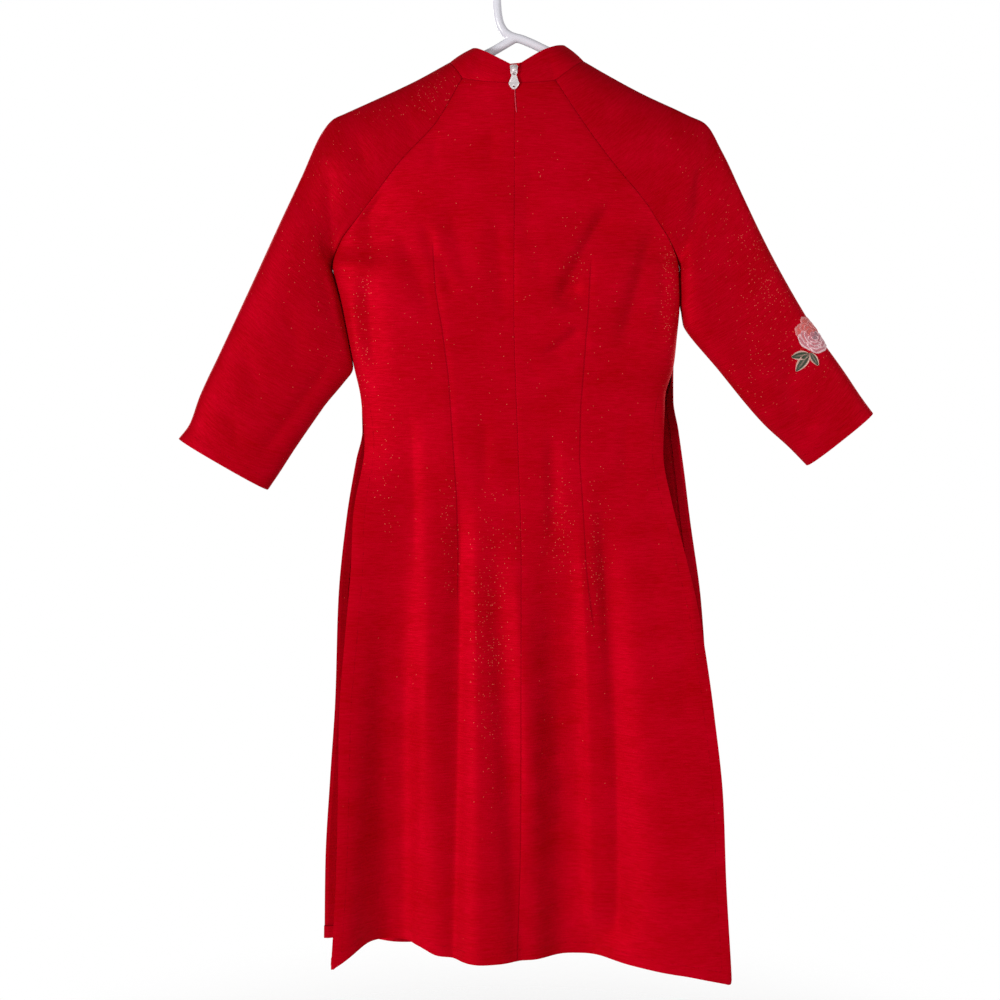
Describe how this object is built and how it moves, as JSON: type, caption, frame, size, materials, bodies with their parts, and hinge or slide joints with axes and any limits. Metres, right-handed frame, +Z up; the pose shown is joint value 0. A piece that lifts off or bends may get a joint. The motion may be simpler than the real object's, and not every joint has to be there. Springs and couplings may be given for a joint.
{
  "type": "ao dai on a hanger",
  "caption": "Knee-length red ao dai with raglan three-quarter sleeves, stand collar, back zip and side slits, hanging open and hollow on a tubular hanger.",
  "frame": {"origin": "the point of the hanger's hook that rests on the rod, on the inner side of its crown", "axes": "+Z up, +Y towards the back of the garment, +X towards the wearer's left"},
  "size_m": [0.793, 0.1046, 1.1861],
  "materials": {
    "silk": "slubbed silk shantung with sparse gold flecks",
    "zip_tape": "matte woven tape",
    "zip_metal": "nickel-plated, lightly worn",
    "petal": "satin-stitch embroidery",
    "rose_heart": "satin-stitch embroidery",
    "leaf": "satin-stitch embroidery",
    "hanger": "smooth moulded plastic"
  },
  "bodies": {
    "garment": {"back_left": "silk", "back_right": "silk", "front": "silk", "sleeve_left": "silk", "sleeve_right": "silk", "collar": "silk", "zip_tape": "zip_tape", "zip_slider": "zip_metal", "rose_outer_petals": "petal", "rose_inner_petals": "petal", "rose_heart": "rose_heart", "rose_leaf_upper": "leaf", "rose_leaf_middle": "leaf", "rose_leaf_lower": "leaf", "hanger_hook": "hanger", "hanger_arm_left": "hanger", "hanger_arm_right": "hanger", "hanger_bar": "hanger"},
    "pull": {"zip_pull": "zip_metal"}
  },
  "joints": [
    {"name": "pull_swing", "type": "hinge", "parent": "garment", "child": "pull", "pos_m": [0.0045, 0.0455, -0.1444], "axis": [1, 0, 0], "range_deg": [0, 135]}
  ]
}
